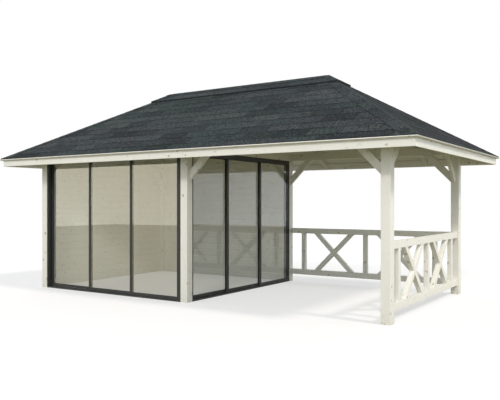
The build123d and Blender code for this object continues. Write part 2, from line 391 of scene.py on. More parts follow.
@cache
def mineral_grit() -> NodeTree:
    """Crushed slate bedded in bitumen: single grains and the patches they gather in.

    Returns:
        The node group.
    """
    grains_per_metre, bedding = 260.0, (0.7, 0.0)
    patch_scale, patch_detail = 46.0, 4.0

    sheet, given, made = open_group("mineral_grit", ["Place", "Lie"], ["Grains", "Patches", "Relief"])
    cells, dice = sheet.cells(given["Place"], grains_per_metre)
    sheet.fill(
        made,
        {
            "Grains": dice,
            "Patches": sheet.noise(given["Lie"], patch_scale, patch_detail),
            "Relief": sheet.span(cells["Distance"], bedding),
        },
    )
    return sheet.tree


# Finishes


class GrainLie(Enum):
    """Which way the grain of a timber runs: as its mesh says, or turned from X."""

    OWN = None
    ALONG_X = (0.0, 0.0, 0.0)
    ALONG_Y = (0.0, 0.0, -math.pi / 2)
    UPRIGHT = (0.0, math.pi / 2, 0.0)


class Finish:
    """A material that is built once and put on pieces."""

    name: str
    slot: str

    def draw(self, sheet: NodeSheet, shader: Node) -> None:
        """Draw the nodes of the finish in front of its shader."""
        raise NotImplementedError

    def material(self) -> bpy.types.Material:
        """The Blender material, made at its first use.

        Returns:
            The material.
        """
        found = bpy.data.materials.get(self.name)
        if found is None:
            found = bpy.data.materials.new(self.name)
            found.use_nodes = True
            self.draw(NodeSheet(found.node_tree), found.node_tree.nodes["Principled BSDF"])
        return found


@dataclass(frozen=True)
class GlazedPine(Finish):
    """Planed pine under an off-white glaze that lets grain and knots show."""

    name: str
    lie: GrainLie = GrainLie.OWN
    slot: str = "timber"
    glaze: Colour = (0.820, 0.812, 0.765)
    summer_wood: Colour = (0.725, 0.695, 0.590)
    knot: Colour = (0.580, 0.510, 0.380)
    heart: Colour = (0.270, 0.195, 0.115)
    bare: Colour = (0.640, 0.540, 0.370)
    soil: Colour = (0.420, 0.400, 0.340)
    cloudy: Span = (0.3, 0.7)
    ring_share: Span = (0.12, 0.42)
    tones: Span = (-1.0, 1.0)
    tone_share: float = 0.16
    streaky: Span = (0.35, 0.75)
    streak_share: float = 0.16
    knot_share: float = 0.42
    heart_share: float = 0.70
    soiled: Span = (0.5, 0.8)
    soil_share: float = 0.12
    rub_share: float = 0.45
    splash_share: float = 0.35
    fibrous: Span = (0.2, 0.8)
    roughness: Span = (0.46, 0.66)
    shine: float = 0.35
    ring_relief: float = 0.5
    heart_relief: float = 0.6
    relief_depth: float = 0.0006
    relief_share: float = 0.45

    def grain(self, sheet: NodeSheet) -> Socket:
        """Place along and across the grain, in metres.

        Args:
            sheet: the material's sheet.

        Returns:
            The place, with X along the grain.
        """
        if self.lie is GrainLie.OWN:
            return sheet.attribute(GRAIN)["Vector"]
        turned = {"Vector": sheet.place(), "Rotation": self.lie.value}
        return sheet.add("ShaderNodeMapping", turned).outputs[0]

    def draw(self, sheet: NodeSheet, shader: Node) -> None:
        """Draw grain, knots, rubbed corners and splashes.

        Args:
            sheet: the material's sheet.
            shader: its shader.
        """
        figure = sheet.group(pine_figure(), Grain=self.grain(sheet))
        age = sheet.group(weathering(), Place=sheet.place())
        rub = sheet.group(edge_rub(), Place=sheet.place())
        rings = sheet.times(figure["Rings"], sheet.span(age["Cloud"], self.cloudy, self.ring_share))
        colour = sheet.layers(
            self.glaze,
            (rings, self.summer_wood),
            (sheet.veil(sheet.attribute(TONE)["Fac"], self.tones, self.tone_share), self.summer_wood),
            (sheet.veil(figure["Fibre"], self.streaky, self.streak_share), self.summer_wood),
            (sheet.times(figure["Knots"], self.knot_share), self.knot),
            (sheet.times(figure["Hearts"], self.heart_share), self.heart),
            (sheet.veil(age["Mottle"], self.soiled, self.soil_share), self.soil),
            (sheet.times(rub["Rub"], self.rub_share), self.bare),
            (sheet.times(age["Splash"], self.splash_share), self.soil),
        )
        raised = sheet.maths("ADD", sheet.times(figure["Rings"], self.ring_relief), figure["Fibre"])
        relief = sheet.maths("SUBTRACT", raised, sheet.times(figure["Hearts"], self.heart_relief))
        sheet.fill(
            shader,
            {
                "Base Color": colour,
                "Roughness": sheet.span(figure["Fibre"], self.fibrous, self.roughness),
                "Specular IOR Level": self.shine,
                "Normal": sheet.bump(relief, self.relief_depth, self.relief_share),
            },
        )


@dataclass(frozen=True)
class PowderCoat(Finish):
    """Fine-textured anthracite powder coating on aluminium."""

    name: str = "anthracite_powder_coat"
    slot: str = "anthracite_frame"
    coat: Colour = (0.0280, 0.0305, 0.0275)
    worn: Colour = (0.060, 0.062, 0.060)
    dust: Colour = (0.150, 0.145, 0.120)
    peel_scale: float = 700.0
    peeled: Span = (0.45, 0.75)
    peel_share: float = 0.12
    rub_share: float = 0.25
    dust_share: float = 0.30
    mottled: Span = (0.25, 0.75)
    roughness: Span = (0.36, 0.52)
    shine: float = 0.45
    peel_depth: float = 0.0002
    relief_share: float = 0.35

    def draw(self, sheet: NodeSheet, shader: Node) -> None:
        """Draw the coat's fine texture, rubbed corners and dust at the foot.

        Args:
            sheet: the material's sheet.
            shader: its shader.
        """
        age = sheet.group(weathering(), Place=sheet.place())
        rub = sheet.group(edge_rub(), Place=sheet.place())
        peel = sheet.noise(sheet.place(), self.peel_scale)
        colour = sheet.layers(
            self.coat,
            (sheet.veil(peel, self.peeled, self.peel_share), self.worn),
            (sheet.times(rub["Rub"], self.rub_share), self.worn),
            (sheet.times(age["Splash"], self.dust_share), self.dust),
        )
        sheet.fill(
            shader,
            {
                "Base Color": colour,
                "Roughness": sheet.span(age["Mottle"], self.mottled, self.roughness),
                "Specular IOR Level": self.shine,
                "Normal": sheet.bump(peel, self.peel_depth, self.relief_share),
            },
        )


@dataclass(frozen=True)
class ClearPane(Finish):
    """Clear safety glass with a trace of green and faint dust at its foot."""

    name: str
    slot: str = "glass"
    tint: Colour = (0.985, 0.990, 0.975)
    shade: Colour = (0.995, 1.0, 0.985)
    # Colour of the pane's reflections; on the front panes a warm painted reflection of a warm sky
    mirror: Colour = (1.0, 1.0, 1.0)
    bending: float = 1.45
    dust_share: float = 0.25
    roughness: float = 0.004

    def draw(self, sheet: NodeSheet, shader: Node) -> None:
        """Draw the pane, which lets light from lamps and walls straight through.

        Args:
            sheet: the material's sheet.
            shader: its shader.
        """
        age = sheet.group(weathering(), Place=sheet.place())
        dust = sheet.times(age["Splash"], self.dust_share)
        sheet.fill(
            shader,
            {
                "Base Color": rgba(self.tint),
                "Transmission Weight": 1.0,
                "IOR": self.bending,
                "Specular Tint": rgba(self.mirror),
                "Roughness": sheet.maths("ADD", dust, self.roughness),
            },
        )
        clear = sheet.add("ShaderNodeBsdfTransparent", {"Color": rgba(self.shade)})
        path = sheet.add("ShaderNodeLightPath").outputs
        through = sheet.maths("MAXIMUM", path["Is Shadow Ray"], path["Is Diffuse Ray"])
        sheet.mix(through, shader, clear, "Material Output")


@dataclass(frozen=True)
class SlateGrit(Finish):
    """Bitumen shingle with crushed slate in green-grey and lilac-grey."""

    name: str = "bitumen_shingle"
    slot: str = "shingle"
    green: Colour = (0.0320, 0.0462, 0.0460)
    lilac: Colour = (0.0384, 0.0420, 0.0520)
    dark: Colour = (0.0098, 0.0118, 0.0124)
    pale: Colour = (0.076, 0.088, 0.085)
    own_shift: Span = (29.0, 17.0)
    patch_stretch: tuple[float, ...] = (1.0, 0.60, 1.0)
    dark_tones: Span = (0.0, -1.0)
    dark_tone_share: float = 0.80
    pale_tones: Span = (0.0, 1.0)
    pale_tone_share: float = 0.55
    dark_patches: Span = (0.51, 0.34)
    dark_patch_share: float = 0.90
    pale_patches: Span = (0.52, 0.68)
    pale_patch_tones: Span = (-1.0, 0.5)
    pale_patch_share: Span = (0.45, 0.90)
    dark_grains: Span = (0.30, 0.0)
    dark_grain_share: float = 0.7
    pale_grains: Span = (0.72, 1.0)
    pale_grain_share: float = 0.6
    # Painted shade: the head of each tab's exposure is darkened, just under the butt of the next course
    lap_dusk: Span = (0.72 * COURSE_HEIGHT, COURSE_HEIGHT)
    lap_dusk_share: float = 0.55
    cloudy: Span = (0.4, 0.75)
    cloud_share: float = 0.25
    roughness: Span = (0.78, 0.96)
    shine: float = 0.06
    relief_depth: float = 0.0012
    relief_share: float = 0.6

    def draw(self, sheet: NodeSheet, shader: Node) -> None:
        """Draw the grains, each tab's own tone, and painted shade at the head of each tab, under the next
        course.

        Args:
            sheet: the material's sheet.
            shader: its shader.
        """
        tint, tone = (sheet.attribute(name)["Fac"] for name in (TINT, TONE))
        spot = sheet.attribute(GRAIN)["Vector"]
        own = sheet.joined(*(sheet.times(value, shift) for value, shift in zip((tint, tone), self.own_shift)))
        lie = sheet.vector("ADD", sheet.scaled(spot, self.patch_stretch), own)["Vector"]
        grit = sheet.group(mineral_grit(), Place=sheet.place(), Lie=lie)
        patches, grains = grit["Patches"], grit["Grains"]
        age = sheet.group(weathering(), Place=sheet.place())
        pale_share = sheet.span(tone, self.pale_patch_tones, self.pale_patch_share)
        colour = sheet.layers(
            self.green,
            (tint, self.lilac),
            (sheet.veil(tone, self.dark_tones, self.dark_tone_share), self.dark),
            (sheet.veil(tone, self.pale_tones, self.pale_tone_share), self.pale),
            (sheet.veil(patches, self.dark_patches, self.dark_patch_share), self.dark),
            (sheet.times(sheet.span(patches, self.pale_patches), pale_share), self.pale),
            (sheet.veil(grains, self.dark_grains, self.dark_grain_share), self.dark),
            (sheet.veil(grains, self.pale_grains, self.pale_grain_share), self.pale),
            # painted shade at the head of each tab, under the butt of the next course
            (sheet.veil(sheet.axes(spot)[1], self.lap_dusk, self.lap_dusk_share), self.dark),
            (sheet.veil(age["Cloud"], self.cloudy, self.cloud_share), self.lilac),
        )
        sheet.fill(
            shader,
            {
                "Base Color": colour,
                "Roughness": sheet.span(grains, (0.0, 1.0), self.roughness),
                "Specular IOR Level": self.shine,
                "Normal": sheet.bump(grit["Relief"], self.relief_depth, self.relief_share),
            },
        )


@dataclass(frozen=True)
class SealRubber(Finish):
    """Black glazing rubber, slightly bloomed."""

    name: str = "glazing_rubber"
    slot: str = "anthracite_frame"
    rubber: Colour = (0.010, 0.010, 0.010)
    bloom: Colour = (0.040, 0.040, 0.038)
    bloomed: Span = (0.45, 0.8)
    bloom_share: float = 0.6
    mottled: Span = (0.3, 0.7)
    roughness: Span = (0.55, 0.75)
    skin_scale: float = 900.0
    skin_depth: float = 0.0001
    skin_share: float = 0.3

    def draw(self, sheet: NodeSheet, shader: Node) -> None:
        """Draw the bloom and fine skin of the rubber.

        Args:
            sheet: the material's sheet.
            shader: its shader.
        """
        mottle = sheet.group(weathering(), Place=sheet.place())["Mottle"]
        skin = sheet.noise(sheet.place(), self.skin_scale)
        bloom = sheet.veil(mottle, self.bloomed, self.bloom_share)
        sheet.fill(
            shader,
            {
                "Base Color": sheet.layers(self.rubber, (bloom, self.bloom)),
                "Roughness": sheet.span(mottle, self.mottled, self.roughness),
                "Normal": sheet.bump(skin, self.skin_depth, self.skin_share),
            },
        )


@dataclass(frozen=True)
class ScrewSteel(Finish):
    """Stainless steel of the screw heads, turned and slightly dulled."""

    name: str = "screw_steel"
    slot: str = "timber"
    steel: Colour = (0.52, 0.52, 0.50)
    dull: Colour = (0.30, 0.29, 0.26)
    spot_scale: float = 400.0
    spot_detail: float = 3.0
    dulled: Span = (0.4, 0.7)
    mottled: Span = (0.3, 0.7)
    roughness: Span = (0.28, 0.48)

    def draw(self, sheet: NodeSheet, shader: Node) -> None:
        """Draw the dulling of the steel.

        Args:
            sheet: the material's sheet.
            shader: its shader.
        """
        mottle = sheet.group(weathering(), Place=sheet.place())["Mottle"]
        spots = sheet.span(sheet.noise(sheet.place(), self.spot_scale, self.spot_detail), self.dulled)
        sheet.fill(
            shader,
            {
                "Base Color": sheet.layers(self.steel, (spots, self.dull)),
                "Metallic": 1.0,
                "Roughness": sheet.span(mottle, self.mottled, self.roughness),
            },
        )


PINE = GlazedPine("glazed_pine")
WALL_PINE = GlazedPine("glazed_wall_boards", knot_share=0.22, heart_share=0.30)
PINE_ALONG_X = GlazedPine("glazed_pine_along_x", GrainLie.ALONG_X)
PINE_ALONG_Y = GlazedPine("glazed_pine_along_y", GrainLie.ALONG_Y)
PINE_UPRIGHT = GlazedPine("glazed_pine_upright", GrainLie.UPRIGHT)
COAT = PowderCoat()
# Front panes reflect more strongly, with a warm painted reflection tint
FRONT_PANE = ClearPane("front_door_glass", mirror=(1.0, 0.88, 0.62), bending=2.38)
SIDE_PANE = ClearPane("side_door_glass")
SHINGLE = SlateGrit()
FELT = SlateGrit(
    "bitumen_felt",
    green=(0.020, 0.022, 0.022),
    lilac=(0.022, 0.022, 0.025),
    pale=(0.050, 0.054, 0.052),
)
RUBBER = SealRubber()
STEEL = ScrewSteel()


# Shapes


def settle(shape: Mesh) -> Mesh:
    """Turn all faces of a closed shape outward."""
    bmesh.ops.recalc_face_normals(shape, faces=shape.faces[:])
    return shape


def sleeve(shape: Mesh, loops: Sequence[Loop]) -> None:
    """Join loops of corners, each to the next, by a band of faces.

    Args:
        shape: the shape that the corners belong to.
        loops: the loops, with as many corners each.
    """
    for lower, upper in zip(loops, loops[1:]):
        for i, corner in enumerate(lower):
            after = (i + 1) % len(lower)
            shape.faces.new([corner, lower[after], upper[after], upper[i]])


def stack(shape: Mesh, loops: Sequence[Loop]) -> Mesh:
    """Join loops of corners and close the first and the last one.

    Args:
        shape: the shape that the corners belong to.
        loops: the loops, with as many corners each.

    Returns:
        The closed shape.
    """
    sleeve(shape, loops)
    shape.faces.new(loops[-1])
    shape.faces.new(loops[0][::-1])
    return settle(shape)


def grid_slab(columns: int, rows: int, place: Callable[[float, float, bool], Vector]) -> Mesh:
    """Closed slab whose two faces are grids.

    Args:
        columns: cells across.
        rows: cells along.
        place: gives a corner from its two shares, 0 to 1, and whether it is on the upper face.

    Returns:
        The slab.
    """
    shape = bmesh.new()
    corners = {
        (i, j, upper): shape.verts.new(place(i / columns, j / rows, upper))
        for upper in (True, False)
        for j in range(rows + 1)
        for i in range(columns + 1)
    }
    for i in range(columns):
        for j in range(rows):
            ring = [(i, j), (i + 1, j), (i + 1, j + 1), (i, j + 1)]
            shape.faces.new([corners[(*spot, True)] for spot in ring])
            shape.faces.new([corners[(*spot, False)] for spot in reversed(ring)])
    rim = [(i, 0) for i in range(columns)] + [(columns, j) for j in range(rows)]
    rim += [(i, rows) for i in range(columns, 0, -1)] + [(0, j) for j in range(rows, 0, -1)]
    for first, second in zip(rim, rim[1:] + rim[:1]):
        ring = [(*first, False), (*second, False), (*second, True), (*first, True)]
        shape.faces.new([corners[spot] for spot in ring])
    return settle(shape)


def prism(outline: Sequence[Span], low: float, high: float) -> Mesh:
    """Closed prism over an outline in X and Y.

    Args:
        outline: corners in order.
        low: lower Z.
        high: upper Z.

    Returns:
        The prism.
    """
    shape = bmesh.new()
    return stack(shape, [[shape.verts.new((x, y, level)) for x, y in outline] for level in (low, high)])


def board(length: float, width: float, thickness: float, groove: float) -> Mesh:
    """Board along X with all four long edges cut back, so that two of them make a V joint.

    Args:
        length: along X, from 0.
        width: along Y, from 0.
        thickness: along Z, from 0.
        groove: how far the edges are cut back.

    Returns:
        The board.
    """
    right, top = width - groove, thickness - groove
    section = [
        (groove, 0.0), (right, 0.0), (width, groove), (width, top),
        (right, thickness), (groove, thickness), (0.0, top), (0.0, groove),
    ]
    shape = prism(section, 0.0, length)
    shape.transform(Matrix((UP, ALONG_X, ALONG_Y)).to_4x4())
    return shape


def rectangle(left: float, right: float, foot: float, top: float) -> list[Span]:
    """Outline of a rectangle."""
    return [(left, foot), (right, foot), (right, top), (left, top)]


def ease_edges(shape: Mesh) -> None:
    """Round the sharp edges of a timber a little.

    Args:
        shape: the timber.
    """
    sharp = [edge for edge in shape.edges if edge.calc_face_angle(0.0) > SHARP]
    bmesh.ops.bevel(
        shape,
        geom=sharp,
        offset=EASE,
        offset_type="OFFSET",
        segments=EASE_STEPS,
        profile=0.5,
        affect="EDGES",
        clamp_overlap=True,
    )


def trim(shape: Mesh, lay: Matrix, cuts: Iterable[Cut]) -> bool:
    """Cut a shape off at planes and close it again.

    Args:
        shape: the shape, in its own coordinates.
        lay: where the shape will lie.
        cuts: a point and an outward normal for each plane.

    Returns:
        Whether a closed shape is left.
    """
    fewest_faces = 4
    back, turn = lay.inverted(), lay.to_3x3().transposed()
    for point, outward in cuts:
        bmesh.ops.bisect_plane(
            shape,
            geom=shape.verts[:] + shape.edges[:] + shape.faces[:],
            dist=ON_CUT,
            plane_co=back @ point,
            plane_no=turn @ outward,
            clear_outer=True,
        )
        rim = [edge for edge in shape.edges if edge.is_boundary]
        if rim:
            bmesh.ops.edgeloop_fill(shape, edges=rim)
    return len(shape.faces) >= fewest_faces


@dataclass
class PieceBook:
    """Collects the bars, boards or tabs of one piece before they become a mesh."""

    name: str
    finish: Finish
    body: str = GAZEBO
    replaces: tuple[str, ...] = ()
    points: list[Vector] = field(default_factory=list)
    faces: list[list[int]] = field(default_factory=list)
    grain: list[Vector] = field(default_factory=list)
    tone: list[float] = field(default_factory=list)
    tint: list[float] = field(default_factory=list)

    def take(
        self,
        shape: Mesh,
        lay: Matrix,
        tone: float = 0.0,
        tint: float = 0.0,
        start: Sequence[float] = (0.0, 0.0, 0.0),
    ) -> None:
        """Add a shape and let go of it.

        Args:
            shape: the shape, in its own coordinates, X along its grain.
            lay: where it lies.
            tone: its own lightness, -1 to 1.
            tint: its own share of the second colour.
            start: shift of its grain, so that no two look alike.
        """
        first, shift = len(self.points), Vector(start)
        shape.verts.index_update()
        for corner in shape.verts:
            self.points.append(lay @ corner.co)
            self.grain.append(corner.co + shift)
        self.tone += [tone] * len(shape.verts)
        self.tint += [tint] * len(shape.verts)
        self.faces += [[first + corner.index for corner in face.verts] for face in shape.faces]
        shape.free()

    def take_timber(self, shape: Mesh, lay: Matrix, chance: random.Random) -> None:
        """Add a bar or board with a lightness and a stretch of grain of its own.

        Args:
            shape: the shape, in its own coordinates, X along its grain.
            lay: where it lies.
            chance: source of the lightness and the grain.
        """
        tone = chance.uniform(-1.0, 1.0)
        self.take(shape, lay, tone, start=[chance.uniform(*span) for span in GRAIN_STARTS])

    def close(self) -> Piece:
        """Make the piece, dress it and put it on its body.

        Returns:
            The piece.
        """
        mesh = bpy.data.meshes.new(self.name)
        mesh.from_pydata(self.points, [], self.faces)
        grain = mesh.attributes.new(GRAIN, "FLOAT_VECTOR", "POINT")
        grain.data.foreach_set("vector", [number for spot in self.grain for number in spot])
        for name, values in ((TONE, self.tone), (TINT, self.tint)):
            mesh.attributes.new(name, "FLOAT", "POINT").data.foreach_set("value", values)
        mesh.polygons.foreach_set("use_smooth", [True] * len(mesh.polygons))
        mesh.set_sharp_from_angle(angle=SHARP)
        mesh.materials.append(self.finish.material())
        mesh.update()
        piece = bpy.data.objects.new(self.name, mesh)
        bpy.context.scene.collection.objects.link(piece)
        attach(piece, self.body)
        if self.replaces:
            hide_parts(*self.replaces)
        LOG.info("%s: %d faces on %s", self.name, len(self.faces), self.body)
        return piece


class UprightBox:
    """Box of a CAD node that stands upright, measured along its longer level side."""

    def __init__(self, node: str) -> None:
        """Measure a node.

        Args:
            node: the CAD node.
        """
        low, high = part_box(node)
        size = high - low
        self.run = ALONG_X if size.x > size.y else ALONG_Y
        self.out = self.run.cross(UP)
        self.start, self.end = measure(low.dot(self.run)), measure(high.dot(self.run))
        self.foot, self.top = measure(low.z), measure(high.z)
        self.half_thickness = measure(abs(size.dot(self.out)) / 2)
        self.lay = Matrix((self.run, UP, self.out)).transposed().to_4x4()
        self.lay.translation = self.out * ((low + high) / 2).dot(self.out)

    def at(self, along: float, height: float, off: float = 0.0) -> Matrix:
        """Place with X along the box, Y up and Z outward, counted from the middle of its thickness."""
        return self.lay @ Matrix.Translation((along, height, off))


def dress_node(name: str, finish: Finish, ease: float = 0.0) -> None:
    """Give a CAD node its finish and, where asked, eased edges.

    Args:
        name: the node.
        finish: its finish.
        ease: radius of its edges in metres, 0 for none.
    """
    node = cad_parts[name]
    for place in node.material_slots:
        place.material = finish.material()
    if ease > 0.0:
        weld = node.modifiers.new("joined_corners", "WELD")
        weld.merge_threshold = ONE_CORNER
        bevel = node.modifiers.new("eased_edges", "BEVEL")
        bevel.width, bevel.segments = ease, EASE_STEPS
        bevel.limit_method, bevel.angle_limit = "ANGLE", NODE_SHARP
    LOG.info("%s: dressed in %s", name, finish.name)


# Roof


class Side(Enum):
    """The four slopes, by the way they face."""

    FRONT = (0.0, -1.0)
    BACK = (0.0, 1.0)
    LEFT = (-1.0, 0.0)
    RIGHT = (1.0, 0.0)

    @property
    def word(self) -> str:
        """The name of the slope in the names of pieces."""
        return self.name.lower()

    @property
    def facing(self) -> Vector:
        """Level direction in which the slope faces."""
        return Vector((*self.value, 0.0))

    @property
    def is_long(self) -> bool:
        """Whether the slope runs up to the ridge rather than to its end."""
        return self.value[0] == 0.0


HIPS = [(x_side, y_side) for x_side in (Side.LEFT, Side.RIGHT) for y_side in (Side.FRONT, Side.BACK)]


@dataclass(frozen=True)
class RoofForm:
    """Lines of the hipped roof that boards, shingles and caps follow."""

    pitch: float = math.radians(30.0)
    reach_x: float = measure(CAD_BOX[1].x)
    reach_y: float = measure(CAD_BOX[1].y)
    foot_level: float = 2.06064
    boards_top: float = 0.020
    shingles_top: float = 0.028
    shingles_back: float = 0.014

    @property
    def ridge_half(self) -> float:
        """Half the length of the ridge, where hips at the same pitch meet it."""
        return measure(self.reach_x - self.reach_y)

    @property
    def ridge_level(self) -> float:
        """Level at which the undersides of the boards meet."""
        return self.foot_level + self.reach_y * math.tan(self.pitch)

    @property
    def slope_length(self) -> float:
        """Length of a slope from lip to ridge, on the underside of the boards."""
        return self.reach_y / math.cos(self.pitch)

    def square(self, side: Side) -> Vector:
        """Direction square to a slope."""
        return UP * math.cos(self.pitch) + side.facing * math.sin(self.pitch)

    def lay(self, side: Side) -> Matrix:
        """Place of a slope: X along the eave, Y up the slope, Z square to it.

        Args:
            side: the slope.

        Returns:
            Its place, with the origin in the middle of the lip under the boards.
        """
        rise = UP * math.sin(self.pitch) - side.facing * math.cos(self.pitch)
        square = self.square(side)
        matrix = Matrix((rise.cross(square), rise, square)).transposed().to_4x4()
        x_way, y_way = side.value
        matrix.translation = (x_way * self.reach_x, y_way * self.reach_y, self.foot_level)
        return matrix

    def reach(self, back: float = 0.0) -> Span:
        """Half-lengths in X and Y, set back from the lip."""
        return self.reach_x - back, self.reach_y - back

    def cuts(self, side: Side, reach: Span) -> list[Cut]:
        """Upright planes that end a slope.

        Args:
            side: the slope.
            reach: half-lengths in X and Y where the slope ends.

        Returns:
            The planes at the eave, the hips and the ridge.
        """
        facing = side.facing
        across = Vector((-facing.y, facing.x, 0.0))
        planes = [(Vector((facing.x * reach[0], facing.y * reach[1], 0.0)), facing)]
        for hand in BOTH_WAYS:
            turn = (across * hand - facing).normalized()
            top = across * (hand * self.ridge_half) if side.is_long else facing * self.ridge_half
            planes.append((top, turn))
        if side.is_long:
            planes.append((Vector(), -facing))
        return planes


@dataclass
class RoofBoarding:
    """Boards laid along the eave, undercut at the lip, with V joints seen from below."""

    form: RoofForm
    width: float = 0.1185
    groove: float = 0.0045
    edge: float = 0.0010
    undercut: float = math.radians(60.0)

    def build(self, side: Side) -> Piece:
        """Board one slope.

        Args:
            side: the slope.

        Returns:
            The boards as one piece.
        """
        form = self.form
        chance = random.Random(f"{side.word} boards")
        book = PieceBook(f"{side.word}_roof_boarding", PINE, replaces=(f"{side.word}_roof_boards",))
        lay = form.lay(side)
        length = 2.0 * (form.reach_x if side.is_long else form.reach_y)
        top = lay @ Vector((0.0, form.boards_top * math.tan(form.pitch), form.boards_top))
        under = (side.facing - UP * math.tan(self.undercut)).normalized()
        cuts = [*form.cuts(side, form.reach()), (top - UP * self.edge, under)]
        for row in range(math.ceil(form.slope_length / self.width) + 1):
            shape = board(length, self.width, form.boards_top, self.groove)
            spot = lay @ Matrix.Translation((-length / 2, row * self.width, 0.0))
            if trim(shape, spot, cuts):
                book.take_timber(shape, spot, chance)
        return book.close()


@dataclass
class ShingleCourses:
    """Courses of strip shingles: a backing strip and tabs that overhang the course below.

    The right slope's tabs are painted darker: painted shade on that side.
    """

    form: RoofForm
    first_line: float = 0.1986
    exposure: float = COURSE_HEIGHT
    tab_width: float = 0.440
    slot_width: float = 0.007
    tab_thickness: float = 0.0030
    tab_columns: int = 8
    tab_rows: int = 3
    overhang: float = 0.006
    butt_lift: float = 0.0080
    butt_spread: float = 0.0030
    head_lift: float = 0.0047
    head_gap: float = 0.0005
    strip_gap: float = 0.0002
    unevenness: float = 0.0012
    waviness: float = 0.0006
    corner_wear: float = 0.004
    first_tab_play: float = 0.05
    strip_tone: float = -1.0
    # Painted shade: tone taken off every tab of the right slope
    damp_shade: float = -1.00
    drift_scale: Span = (0.8, 1.6)
    drift_share: float = 0.9
    tone_play: float = 0.8
    tint_scale: Span = (1.0, 2.0)
    tint_seed: float = 7.5
    tint_share: float = 1.3
    tint_play: float = 0.45

    @property
    def under(self) -> Span:
        """Height of a tab's underside at its foot and at its head."""
        return self.butt_lift - self.butt_spread - self.tab_thickness, self.head_lift - self.tab_thickness

    def lines(self, length: float) -> list[float]:
        """Where the courses start, up the slope.

        Args:
            length: length of the slope.

        Returns:
            The start of each course, and the end of the last.
        """
        lines = [self.first_line - self.exposure]
        while lines[-1] < length:
            lines.append(lines[-1] + self.exposure)
        return lines

    def strip(self, half: float, start: float, end: float) -> Mesh:
        """Backing of one course, thick at its foot and thin at its head.

        Args:
            half: half its length.
            start: its foot, up the slope.
            end: its head, up the slope.

        Returns:
            The strip, on the boards.
        """
        foot, head = (height - self.strip_gap for height in self.under)

        def place(p: float, q: float, upper: bool) -> Vector:
            """Corner of the strip."""
            level = foot + q * (head - foot) if upper else 0.0
            return Vector(((2 * p - 1) * half, start + q * (end - start), level))

        return grid_slab(1, 1, place)

    def tab(self, height: float, chance: random.Random) -> Mesh:
        """One tab, thicker or thinner at its slightly uneven foot.

        Args:
            height: up the slope.
            chance: source of the unevenness.

        Returns:
            The tab, with its origin at its left foot.
        """
        columns, rows = self.tab_columns, self.tab_rows
        uneven = [chance.uniform(-self.unevenness, self.unevenness) for _ in range(columns + 1)]
        wave = [chance.uniform(-self.waviness, 0.0) for _ in range((columns + 1) * (rows + 1))]
        butt = self.butt_lift - self.butt_spread * chance.random()
        low, high = self.under

        def place(p: float, q: float, upper: bool) -> Vector:
            """Corner of the tab's grid.

            Args:
                p: share of the width.
                q: share of the height.
                upper: whether it is on the upper face.

            Returns:
                The corner.
            """
            column, row = round(p * columns), round(q * rows)
            wear = self.corner_wear if column in (0, columns) else 0.0
            foot = uneven[column] + wear - self.overhang
            lift = butt + q * (self.head_lift - butt) + wave[column + row * (columns + 1)]
            y = foot + q * (height - self.head_gap - foot)
            return Vector((p * self.tab_width, y, lift if upper else low + q * (high - low)))

        return grid_slab(columns, rows, place)

    def shade(self, base: float, left: float, start: float, seed: int, chance: random.Random) -> Span:
        """Shade of one tab, which drifts over the slope and jumps from tab to tab.

        Args:
            base: lightness of the whole slope; on the right slope, painted shade.
            left: the tab's place along the eave.
            start: the tab's place up the slope.
            seed: number that sets the pattern.
            chance: source of the jumps.

        Returns:
            Its lightness, and its share of lilac.
        """
        drift, patch = (
            noise.noise(Vector((left * along, start * up, seed + shift)))
            for (along, up), shift in ((self.drift_scale, 0.0), (self.tint_scale, self.tint_seed))
        )
        tone = base + self.drift_share * drift + chance.uniform(-self.tone_play, self.tone_play)
        tint = 0.5 + self.tint_share * patch + chance.uniform(-self.tint_play, self.tint_play)
        return within(tone, -1.0, 1.0), within(tint, 0.0, 1.0)

    def lay_field(
        self,
        book: PieceBook,
        side: Side,
        base: float,
        ends: Sequence[float],
        half: float,
        cuts: list[Cut],
        seed: int,
    ) -> None:
        """Lay courses on a slope.

        Args:
            book: piece that takes the courses.
            side: the slope.
            base: height of what they lie on, square to the slope.
            ends: where the courses start, and the end of the last.
            half: half-length of the longest course.
            cuts: planes that end the slope.
            seed: number that sets the pattern.
        """
        chance = random.Random(f"{book.name} {seed}")
        # Painted shade on the right slope only
        this_slope_painted_shade = self.damp_shade if side is Side.RIGHT else 0.0
        lay = self.form.lay(side) @ Matrix.Translation((0.0, 0.0, base))
        step = self.tab_width + self.slot_width
        for number, (start, end) in enumerate(zip(ends, ends[1:])):
            shape = self.strip(half, start, end)
            if trim(shape, lay, cuts):
                book.take(shape, lay, self.strip_tone)
            stagger = step / 2 if number % 2 else 0.0
            left = -half - stagger - chance.uniform(0.0, self.first_tab_play)
            while left < half:
                shape = self.tab(end - start, chance)
                spot = lay @ Matrix.Translation((left, start, 0.0))
                tone, tint = self.shade(this_slope_painted_shade, left, start, seed, chance)
                if trim(shape, spot, cuts):
                    book.take(shape, spot, tone, tint)
                left += step

    def build(self, side: Side) -> Piece:
        """Shingle one slope.

        Args:
            side: the slope.

        Returns:
            The courses as one piece.
        """
        form = self.form
        book = PieceBook(f"{side.word}_shingle_courses", SHINGLE, replaces=(f"{side.word}_shingles",))
        half = form.reach_x if side.is_long else form.reach_y
        ends = self.lines(form.slope_length + form.shingles_top)
        cuts = form.cuts(side, form.reach(form.shingles_back))
        self.lay_field(book, side, form.boards_top, ends, half, cuts, list(Side).index(side))
        return book.close()


